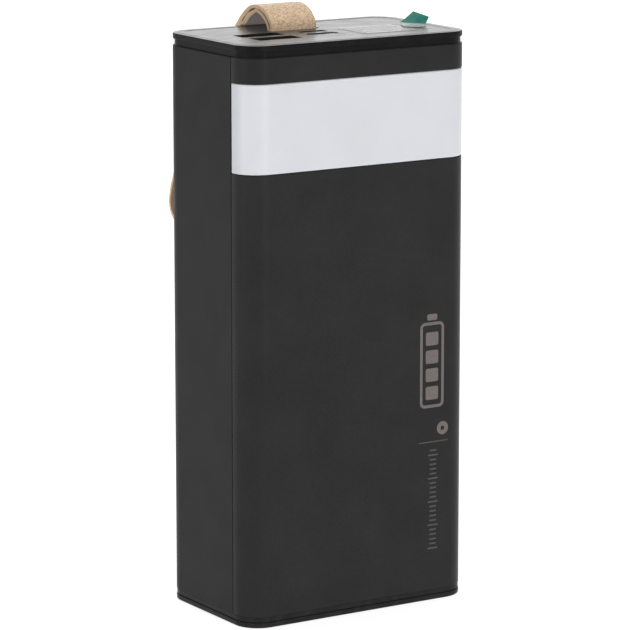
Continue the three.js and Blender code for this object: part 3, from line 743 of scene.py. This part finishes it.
def smooth_line(points, count, fine=24):
    """Evenly spaced points along a smooth line through the given ones."""
    def at(index):
        return points[max(0, min(len(points) - 1, index))]

    dense = []
    for index in range(len(points) - 1):
        before, start, end, after = at(index - 1), at(index), at(index + 1), at(index + 2)
        for step in range(fine):
            t = step / fine
            dense.append(0.5 * (2 * start + (end - before) * t
                                + (2 * before - 5 * start + 4 * end - after) * t ** 2
                                + (3 * start - before - 3 * end + after) * t ** 3))
    dense.append(points[-1])
    lengths = [0.0]
    for first, second in zip(dense, dense[1:]):
        lengths.append(lengths[-1] + (second - first).length)
    line = []
    place = 0
    for index in range(count + 1):
        wanted = lengths[-1] * index / count
        while place < len(dense) - 2 and lengths[place + 1] < wanted:
            place += 1
        stretch = lengths[place + 1] - lengths[place]
        part = (wanted - lengths[place]) / stretch if stretch else 0
        line.append(dense[place].lerp(dense[place + 1], part))
    return line


# ------------------------------------ case


def make_front_cover():
    """The textured front shell, with a pocket that the lamp bar sits in."""
    pocket = LAMP_THICKNESS + 0.05 * MM
    pocket_low = LAMP_LOW.z - LAMP_GAP
    pocket_high = LAMP_HIGH.z + LAMP_GAP
    profile = fillet([
        (0, BODY_BOTTOM, SHELL_BOTTOM_EDGE),
        (WALL, BODY_BOTTOM, 0),
        (WALL, BODY_TOP, 0),
        (0, BODY_TOP, SHELL_TOP_EDGE),
        (0, pocket_high, SHELL_EDGE),
        (pocket, pocket_high, 0),
        (pocket, pocket_low, 0),
        (0, pocket_low, SHELL_EDGE),
    ])
    mesh = sweep(front_stations(), profile, closed=False, end_radius=SHELL_EDGE)
    make_piece("front_cover_skin", mesh, "case", ["case_textured"], ["front_cover"])


def make_rear_shell():
    """The smooth shell of both sides and the back."""
    profile = fillet([
        (0, BODY_BOTTOM, SHELL_BOTTOM_EDGE),
        (WALL, BODY_BOTTOM, 0),
        (WALL, BODY_TOP, 0),
        (0, BODY_TOP, SHELL_TOP_EDGE),
    ])
    mesh = sweep(rear_stations(), profile, closed=False, end_radius=SHELL_EDGE)
    make_piece("rear_shell_skin", mesh, "case", ["case_smooth"], ["rear_shell"])


def make_lamp_diffuser():
    """The milky bar that wraps both front corners."""
    profile = fillet([
        (0, LAMP_LOW.z, LAMP_EDGE),
        (LAMP_THICKNESS, LAMP_LOW.z, 0),
        (LAMP_THICKNESS, LAMP_HIGH.z, 0),
        (0, LAMP_HIGH.z, LAMP_EDGE),
    ])
    mesh = sweep(front_stations(), profile, closed=False, end_radius=LAMP_END_EDGE)
    make_piece("lamp_diffuser_bar", mesh, "case", ["lamp_white"], ["lamp_diffuser"])


def make_base_cap():
    """A foot lip, a fine groove, and a neck that the shells stand on."""
    neck_inset = 0.12 * MM
    groove_inset = 0.35 * MM
    groove_bottom = BASE_LIP_TOP - 0.1 * MM
    groove_top = BASE_LIP_TOP + 0.05 * MM
    inside = 6 * MM
    outline = fillet([
        (0, 0, 0.5 * MM),
        (0, groove_bottom - 0.05 * MM, 0.12 * MM),
        (groove_inset, groove_bottom, 0),
        (groove_inset, groove_top, 0),
        (neck_inset, groove_top + 0.05 * MM, 0.05 * MM),
        (neck_inset, BODY_BOTTOM, 0),
        (inside, BODY_BOTTOM, 0),
        (inside, 0, 0),
    ])
    mesh = lathe_plate(CASE_STATIONS, outline[:-2])
    make_piece("base_cap_moulding", mesh, "case", ["base_black"], ["base_cap"])


def make_top_cap():
    """A recessed band, the lip above it, and a low rim round the panel, with polished upper faces."""
    rim_top = TOP + RIM_HEIGHT
    inner = PANEL_INSET - 0.04 * MM
    polished_from = TOP - 0.12 * MM
    lip_from = LIP_BOTTOM + 0.1 * MM
    profile = fillet([
        (BAND_INSET, BODY_TOP, 0),
        (BAND_INSET, LIP_BOTTOM, 0.1 * MM),
        (0, LIP_BOTTOM, 0.22 * MM),
        (0, TOP, 0.3 * MM),
        (1.15 * MM, TOP + 0.02 * MM, 0.1 * MM),
        (1.35 * MM, rim_top, 0.08 * MM),
        (inner - 0.3 * MM, rim_top, 0.2 * MM),
        (inner, TOP, 0.06 * MM),
        (inner, BODY_TOP, 0),
    ])
    materials = ["gloss_black", "panel_gloss", "band_black"]
    mesh = sweep(CASE_STATIONS, profile)
    mesh.normal_update()
    for face in mesh.faces:
        height = face.calc_center_median().z
        if height > polished_from and abs(face.normal.z) > 0.2:
            face.material_index = materials.index("panel_gloss")
        elif height > lip_from:
            face.material_index = materials.index("band_black")
    make_piece("top_cap_ring", mesh, "case", materials, ["top_cap"])


def box_stations(node, grow, radius):
    """A node's outline seen from above, grown by grow in width and depth, with round corners."""
    low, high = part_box(node)
    middle = (low + high) / 2
    width = high.x - low.x + grow
    depth = high.y - low.y + grow
    return rounded_stations(middle.x, middle.y, width, depth, radius)


def disc_stations(node, diameter, steps=HOLE_STEPS):
    """A circle round a node's middle."""
    middle = centre(node)
    return rounded_stations(middle.x, middle.y, diameter, diameter, ROUND_SHARE * diameter / 2, steps)


def make_top_panel():
    """The inset sheet with its socket mouths, strap slot, and holes for the light and the button."""
    slot_y = centre("strap_pin").y + STRAP_SLOT_SHIFT
    slot = rounded_stations(STRAP_X, slot_y, STRAP_SLOT_WIDTH, STRAP_SLOT_DEPTH, STRAP_SLOT_CORNER)
    holes = [
        box_stations("usb_a_socket_rear", -0.2 * MM, 0.35 * MM),
        box_stations("usb_a_socket_front", -0.2 * MM, 0.35 * MM),
        box_stations("usb_c_socket", 0.4 * MM, 1.75 * MM),
        box_stations("micro_usb_socket", 0.4 * MM, 0.5 * MM),
        slot,
        disc_stations("status_light_pipe", 1.5 * MM),
        disc_stations("power_button", 6.7 * MM),
    ]
    width = PANEL_HIGH.x - PANEL_LOW.x + 2 * PANEL_MARGIN
    depth = PANEL_HIGH.y - PANEL_LOW.y + 2 * PANEL_MARGIN
    radius = CORNER_RADIUS - PANEL_INSET + PANEL_MARGIN
    outer = rounded_stations(0, 0, width, depth, radius, CORNER_STEPS)
    mesh = holed_plate(outer, holes, PANEL_LOW.z, TOP, PANEL_EDGE)
    make_piece("top_panel_sheet", mesh, "case", ["panel_gloss"], ["top_panel"])


make_front_cover()
make_rear_shell()
make_lamp_diffuser()
make_base_cap()
make_top_cap()
make_top_panel()

# ------------------------------------ sockets and controls

# Radius of a socket's rolled mouth, as a share of its wall
SOCKET_ROLL = 0.45
USB_A_TONGUE_DEPTH = 1.8 * MM
SMALL_TONGUE_DEPTH = 1.1 * MM


def make_socket(node, wall, radius):
    """A drawn steel shell with a rolled mouth, standing on the board."""
    low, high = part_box(node)
    profile = fillet([
        (0, low.z, 0),
        (0, high.z, wall * SOCKET_ROLL),
        (wall, high.z, wall * SOCKET_ROLL),
        (wall, low.z, 0),
    ])
    mesh = sweep(box_stations(node, 0, radius), profile)
    make_piece(node + "_shell", mesh, "case", ["steel"], [node])


def make_tongue(node, slot, depth, contacts, contact_width):
    """A moulded tongue that ends depth below the panel, with a row of gold contacts down its front face."""
    low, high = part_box(node)
    top = TOP - depth
    tongue = soft_box(low, Vector((high.x, high.y, top)), 0.15 * MM)
    make_piece(node + "_moulding", tongue, "case", [slot], [node])
    half_thickness = 0.04 * MM
    strips = []
    for index in range(contacts):
        x = low.x + (high.x - low.x) * (index + 0.5) / contacts
        strip_low = Vector((x - contact_width / 2, low.y - half_thickness, top - 4.5 * MM))
        strip_high = Vector((x + contact_width / 2, low.y + half_thickness, top - 0.5 * MM))
        strips.append(soft_box(strip_low, strip_high, 0.02 * MM, 1))
    make_piece(node + "_contacts", merge(*strips), "case", ["gold"])


for end in ("rear", "front"):
    make_socket(f"usb_a_socket_{end}", 0.3 * MM, 0.5 * MM)
    make_tongue(f"usb_a_tongue_{end}", "white_plastic", USB_A_TONGUE_DEPTH, 4, 1.2 * MM)
make_socket("usb_c_socket", 0.28 * MM, 1.6 * MM)
make_tongue("usb_c_tongue", "black_plastic", SMALL_TONGUE_DEPTH, 12, 0.25 * MM)
make_socket("micro_usb_socket", 0.28 * MM, 0.5 * MM)
make_tongue("micro_usb_tongue", "black_plastic", SMALL_TONGUE_DEPTH, 5, 0.35 * MM)


BUTTON_STEPS = 12

# The key's rounded edge and dish, as (inset, drop below its highest point) in mm
BUTTON_DISH = ((0, 0.25), (0.07, 0.08), (0.25, 0), (0.6, 0.01), (1.2, 0.12), (2.0, 0.2), (2.9, 0.24))


def make_power_button():
    """A round key with a shallow dish, over its flange and stem."""
    low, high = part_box("power_button")
    radius = 3.2 * MM
    stem_inset = radius - 1.4 * MM
    flange_reach = 0.7 * MM
    flange_low = low.z + 0.95 * MM
    flange_high = flange_low + 0.9 * MM
    stations = disc_stations("power_button", 2 * radius, BUTTON_STEPS)
    body = [
        (stem_inset, low.z),
        (stem_inset, flange_low),
        (-flange_reach, flange_low),
        (-flange_reach, flange_high),
        (0, flange_high),
    ]
    dish = [(inset * MM, high.z - drop * MM) for inset, drop in BUTTON_DISH]
    mesh = lathe_plate(stations, body + dish)
    make_piece("power_button_key", mesh, "button", ["gloss_black"], ["power_button"])


make_power_button()

# ------------------------------------ film and pull tab

TAB_THICKNESS = 0.16 * MM
TAIL_SAG = 0.06 * MM
END_SAG = 0.12 * MM

# Edges of the pull tab in mm: where the clear tail meets the film, the fold, and the free end
TAIL_EDGE = ((22.5, -6.7, 153.42), (26.8, -9.9, 153.42))
FOLD_EDGE = ((26.4, 0.7, 153.5), (29.57, -6.48, 153.55))
FREE_EDGE = ((31.6, 2.3, 155.95), (31.6, -5.2, 155.2))


def make_film():
    """The clear film over the display, just clear of the panel."""
    low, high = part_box("display_film")
    stations = box_stations("display_film", 0, 0.8 * MM)
    mesh = lathe_plate(stations, [(0, low.z + 0.04 * MM), (0, high.z)])
    make_piece("display_film_sheet", mesh, "case", ["clear_film"], ["display_film"])


def curled_sheet(near_edge, far_edge, sag, steps=12):
    """A thin sheet between two straight edges that dips by sag between them."""
    mesh = bmesh.new()
    surfaces = []
    for lift in (TAB_THICKNESS / 2, -TAB_THICKNESS / 2):
        rows = []
        for row in range(steps + 1):
            along = row / steps
            dip = Vector((0, 0, lift - sag * math.sin(along * math.pi)))
            first = near_edge[0].lerp(far_edge[0], along) + dip
            last = near_edge[1].lerp(far_edge[1], along) + dip
            spots = [first.lerp(last, column / steps) for column in range(steps + 1)]
            rows.append([mesh.verts.new(spot) for spot in spots])
        surfaces.append(rows)
        for row, following in zip(rows, rows[1:]):
            for column in range(steps):
                mesh.faces.new((row[column], row[column + 1], following[column + 1], following[column]))
    upper, lower = surfaces
    rims = (
        (upper[0], lower[0]),
        (upper[-1], lower[-1]),
        ([row[0] for row in upper], [row[0] for row in lower]),
        ([row[-1] for row in upper], [row[-1] for row in lower]),
    )
    for top_line, low_line in rims:
        for index in range(steps):
            mesh.faces.new((top_line[index], top_line[index + 1], low_line[index + 1], low_line[index]))
    return mesh


def make_pull_tab():
    """The clear tail lies on the film, and the green end curls up off the case."""
    edges = (TAIL_EDGE, FOLD_EDGE, FREE_EDGE)
    tail, fold, free = ([Vector(corner) * MM for corner in edge] for edge in edges)
    clear = curled_sheet(tail, fold, TAIL_SAG)
    green = curled_sheet(fold, free, END_SAG)
    make_piece("pull_tab_tail", clear, "case", ["milky_film"])
    make_piece("pull_tab_end", green, "case", ["tab_green"], ["film_pull_tab"])


make_film()
make_pull_tab()

# ------------------------------------ strap

# Centre lines of the strap's two layers from the slot over the back edge, as (y, z, thickness) in mm.
# They touch over the arch, part behind its top, and squeeze together where they pass the back edge.
OUTER_LAYER = (
    (5.45, 149.4, 1.0), (5.5, 151.6, 1.0), (5.82, 153.2, 1.05), (5.95, 154.4, 1.05), (6.62, 155.35, 1.05),
    (8.05, 156.6, 1.05), (9.85, 157.7, 1.05), (12.3, 158.45, 1.05), (14.4, 158.62, 1.05), (16, 158.45, 1.1),
    (17.6, 157.8, 1.3), (18.95, 156.85, 1.5), (20.05, 155.95, 1.55), (21.25, 154.85, 1.5),
    (22.55, 153.6, 1.15), (23.75, 152.3, 1.0), (26.2, 148.9, 1.0),
)
LOOP_LINE = (
    (32.4, 140.3, 1.0), (38.6, 132.2, 1.0), (45.6, 120.3, 1.0), (50, 109.2, 1.0), (51, 101.6, 1.0),
    (47.6, 97.4, 1.0), (43, 98.2, 1.0), (40.6, 103.8, 1.0), (39.4, 113.6, 1.0), (36, 126, 1.0),
    (31.4, 137.2, 1.0),
)
INNER_LAYER = (
    (24.7, 147.9, 0.95), (22.5, 151.4, 0.85), (21.9, 152.8, 0.85), (21.1, 153.55, 0.9), (20.4, 153.72, 1.05),
    (19.6, 153.85, 1.35), (19.05, 154.3, 1.6), (18.45, 155.05, 1.6), (17.4, 156, 1.5),
    (15.6, 156.9, 1.25), (13.95, 157.62, 1.0), (12.4, 157.32, 1.0),
    (11.1, 156.87, 1.0), (9, 155.65, 1.0), (7.45, 154.05, 1.0), (6.95, 152.9, 1.0), (6.6, 151.6, 1.0),
    (6.55, 149.4, 1.0),
)
STRAP_RINGS = 300
STRAP_EDGE = 0.16 * MM
STRAP_MATERIALS = ["strap_leather", "strap_lining", "strap_edge", "strap_painted_highlight_line", "strap_inside_painted_shade_glow"]
LEATHER, LINING, EDGE, PAINTED_HIGHLIGHT, INSIDE_PAINTED = range(len(STRAP_MATERIALS))

# Where the bevels meet the cut edge, as shares of half the thickness, and how far the face drops to them
UPPER_BEVEL = 0.66
LOWER_BEVEL = -0.8
FACE_DROP = 0.06


def strap_section(thickness, inner, steps=10):
    """Cross-section points (across, out, material number of the face that starts there)."""
    half_width = STRAP_WIDTH / 2
    half_face = half_width - STRAP_EDGE
    half = thickness / 2
    # The inner layer's rounding beside its face carries the painted highlight line; the outer layer keeps plain
    # edge there.
    line = PAINTED_HIGHLIGHT if inner else EDGE
    section = []
    for step in range(steps + 1):
        share = step / steps * 2 - 1
        out = half * (1 - FACE_DROP * share ** 6)
        # The inner layer's face toward the arch's hollow takes the painted-shade material lit by painted emission.
        section.append((share * half_face, out, INSIDE_PAINTED if inner else LEATHER))
    section[-1] = (*section[-1][:2], line)
    section.append((half_width, half * UPPER_BEVEL, EDGE))
    section.append((half_width, half * LOWER_BEVEL, EDGE))
    for step in range(steps + 1):
        share = 1 - step / steps * 2
        section.append((share * half_face, -half, LINING))
    section[-1] = (*section[-1][:2], EDGE)
    section.append((-half_width, half * LOWER_BEVEL, EDGE))
    section.append((-half_width, half * UPPER_BEVEL, line))
    return section


def make_strap():
    """One continuous band: out of the slot, over the arch, round the hanging loop and back."""
    points = [Vector(point) * MM for point in OUTER_LAYER + LOOP_LINE + INNER_LAYER]
    path = smooth_line(points, STRAP_RINGS)
    inner_start = STRAP_RINGS * (len(OUTER_LAYER) + len(LOOP_LINE)) / len(points)
    mesh = bmesh.new()
    rings = []
    for index, point in enumerate(path):
        along = path[min(index + 1, len(path) - 1)] - path[max(index - 1, 0)]
        along = Vector((along.x, along.y)).normalized()
        outward = Vector((-along.y, along.x))
        drift = STRAP_SIDE_DRIFT * max(0, PIVOT.z - point.y)
        section = strap_section(point.z, index > inner_start)
        ring = []
        for across, out, _ in section:
            spot = Vector((point.x, point.y)) + outward * out
            ring.append(mesh.verts.new((STRAP_X + across - drift, spot.x, spot.y)))
        rings.append((ring, section))
    size = len(section)
    for (ring, section), (following, _) in zip(rings, rings[1:]):
        for corner in range(size):
            after = (corner + 1) % size
            face = mesh.faces.new((ring[corner], ring[after], following[after], following[corner]))
            face.material_index = section[corner][2]
    for ring, section in (rings[0], rings[-1]):
        mesh.faces.new(ring).material_index = EDGE
    nodes = ["strap_arch", "strap_loop"]
    strap = make_piece("wrist_strap", mesh, None, STRAP_MATERIALS, nodes, 50)
    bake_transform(strap)


make_strap()

# ------------------------------------ printed marks on the front

INK_LOW = -FRONT_Y - 0.02 * MM
INK_HIGH = -FRONT_Y + 0.03 * MM

# Sizes of the charge gauge on the front, in x and z
GAUGE_LEFT = 18.6 * MM
GAUGE_RIGHT = 26.2 * MM
GAUGE_LOW = 53 * MM
GAUGE_HIGH = 76.2 * MM
GAUGE_LINE = 0.8 * MM
GAUGE_CORNER = 1.5 * MM
GAUGE_BARS = 4
BAR_MARGIN = 1.8 * MM
BAR_LOW = 55.2 * MM
BAR_PITCH = 4.9 * MM
BAR_HEIGHT = 3.6 * MM
BAR_CORNER = 0.5 * MM
TICKS = 22
TICK_X = 22.9 * MM
TICK_LOW = 14.2 * MM
TICK_PITCH = 1.28 * MM
TICK_HEIGHT = 0.42 * MM
TICK_CORNER = 0.12 * MM
TICK_HALF = 1.05 * MM
LONG_TICK_HALF = 1.6 * MM
LONG_TICK_EVERY = 5


def disc_outline(x, z, radius, steps=40):
    """A circle in x and z."""
    angles = [step / steps * math.tau for step in range(steps)]
    return [(x + radius * math.cos(angle), z + radius * math.sin(angle)) for angle in angles]


def bar_outline(x0, x1, z0, z1, radius):
    """A rectangle with round corners in x and z."""
    corners = [(x0, z0, radius), (x1, z0, radius), (x1, z1, radius), (x0, z1, radius)]
    return [tuple(point) for point in fillet(corners, 5)]


def prism(outline):
    """An outline in x and z, as a thin layer of ink on the front face."""
    mesh = bmesh.new()
    near = [mesh.verts.new((x, -INK_HIGH, z)) for x, z in outline]
    far = [mesh.verts.new((x, -INK_LOW, z)) for x, z in outline]
    join_rings(mesh, [near, far])
    mesh.faces.new(near)
    mesh.faces.new(far)
    return mesh


def ring_prism(outer, inner):
    """A closed frame-shaped prism between two outlines."""
    mesh = bmesh.new()
    levels = ((outer, INK_HIGH), (inner, INK_HIGH), (inner, INK_LOW), (outer, INK_LOW))
    loops = [[mesh.verts.new((x, -depth, z)) for x, z in outline] for outline, depth in levels]
    join_rings(mesh, loops + loops[:1])
    return mesh


def bar(x0, x1, z0, z1, radius):
    """A printed bar with round corners."""
    return prism(bar_outline(x0, x1, z0, z1, radius))


def make_print():
    """A plain charge gauge: a battery outline with bars, a ring, a rule and a column of ticks."""
    line = GAUGE_LINE
    outer = bar_outline(GAUGE_LEFT, GAUGE_RIGHT, GAUGE_LOW, GAUGE_HIGH, GAUGE_CORNER)
    inner = bar_outline(
        GAUGE_LEFT + line, GAUGE_RIGHT - line, GAUGE_LOW + line, GAUGE_HIGH - line, GAUGE_CORNER - line,
    )
    cap = bar(20.8 * MM, 24 * MM, 76.7 * MM, 78.4 * MM, BAR_CORNER)
    ring_place = (25.9 * MM, 47.1 * MM)
    ring = ring_prism(disc_outline(*ring_place, 1.8 * MM), disc_outline(*ring_place, 0.6 * MM))
    shapes = [ring_prism(outer, inner), cap, ring]
    for index in range(GAUGE_BARS):
        low = BAR_LOW + index * BAR_PITCH
        left, right = GAUGE_LEFT + BAR_MARGIN, GAUGE_RIGHT - BAR_MARGIN
        shapes.append(bar(left, right, low, low + BAR_HEIGHT, BAR_CORNER))
    rule = bar(18.3 * MM, 27.7 * MM, 43.5 * MM, 43.8 * MM, 0.1 * MM)
    faint = [rule]
    for index in range(TICKS):
        low = TICK_LOW + index * TICK_PITCH
        half = TICK_HALF if index % LONG_TICK_EVERY else LONG_TICK_HALF
        faint.append(bar(TICK_X - half, TICK_X + half, low, low + TICK_HEIGHT, TICK_CORNER))
    make_piece("front_print", merge(*shapes), "case", ["print_ink"])
    make_piece("front_print_ticks", merge(*faint), "case", ["faint_ink"])


make_print()

# ------------------------------------ CAD nodes that stay


def finish_cad_nodes():
    """Gives every CAD node that is kept the material its record names."""
    slots = {entry["node"]: entry["material_slot"] for entry in frame["record"]["subparts"]}
    for name, node in frame["nodes"].items():
        node.data.materials.clear()
        node.data.materials.append(MATERIALS[slots[name]])


finish_cad_nodes()

# ------------------------------------ floor and light


FLOOR_HALF_WIDTH = 6
FLOOR_DROP = 0.05 * MM


def make_floor():
    """A pale floor that glows a little, just under the part."""
    mesh = bmesh.new()
    bmesh.ops.create_grid(mesh, x_segments=8, y_segments=8, size=FLOOR_HALF_WIDTH)
    data = bpy.data.meshes.new("floor")
    mesh.to_mesh(data)
    mesh.free()
    surface = Surface("floor", (0.5, 0.5, 0.5), 0.7)
    surface.set("Emission Color", (1, 1, 1, 1))
    surface.set("Emission Strength", 0.80)
    surface.roughen(surface.between(surface.noise(0.5, 3), 0.65, 0.8))
    data.materials.append(surface.material)
    floor = bpy.data.objects.new("floor", data)
    floor.location.z = -FLOOR_DROP
    bpy.context.scene.collection.objects.link(floor)


def make_area_light(name, place, target, size, power):
    """A rectangular light of the given size in metres and power in watts, aimed at target."""
    data = bpy.data.lights.new(name, "AREA")
    data.shape = "RECTANGLE"
    data.size, data.size_y = size
    data.energy = power
    light = bpy.data.objects.new(name, data)
    light.location = place
    light.rotation_mode = "QUATERNION"
    light.rotation_quaternion = (Vector(target) - Vector(place)).to_track_quat("-Z", "Y")
    light.visible_camera = False
    bpy.context.scene.collection.objects.link(light)


def make_world():
    """Even white light from all round."""
    world = bpy.data.worlds.new("studio")
    world.use_nodes = True
    background = world.node_tree.nodes["Background"]
    background.inputs["Color"].default_value = (1, 1, 1, 1)
    background.inputs["Strength"].default_value = 0.28
    bpy.context.scene.world = world


# Name, place, point aimed at, size, and power
LIGHTS = (
    ("softbox_left", (-1.5, -0.16, 0.5), (0, 0, 0.45), (0.42, 1.0), 4),
    ("softbox_rim", (-1.3, 1.3, 0.5), (0, 0, 0.3), (0.5, 1.0), 4),
    ("softbox_front", (0.2, -1.5, 0.5), (0, 0, 0.45), (0.42, 1.0), 7),
    ("softbox_top", (0.1, 0.2, 1.8), (0, 0, 0.08), (1.2, 1.2), 10),
    ("sweep_behind", (1.2, 1.9, 0.95), (0, 0, 0.15), (3.0, 1.8), 23),
)

make_floor()
make_world()
for light in LIGHTS:
    make_area_light(*light)
bpy.context.scene.view_settings.view_transform = "Standard"
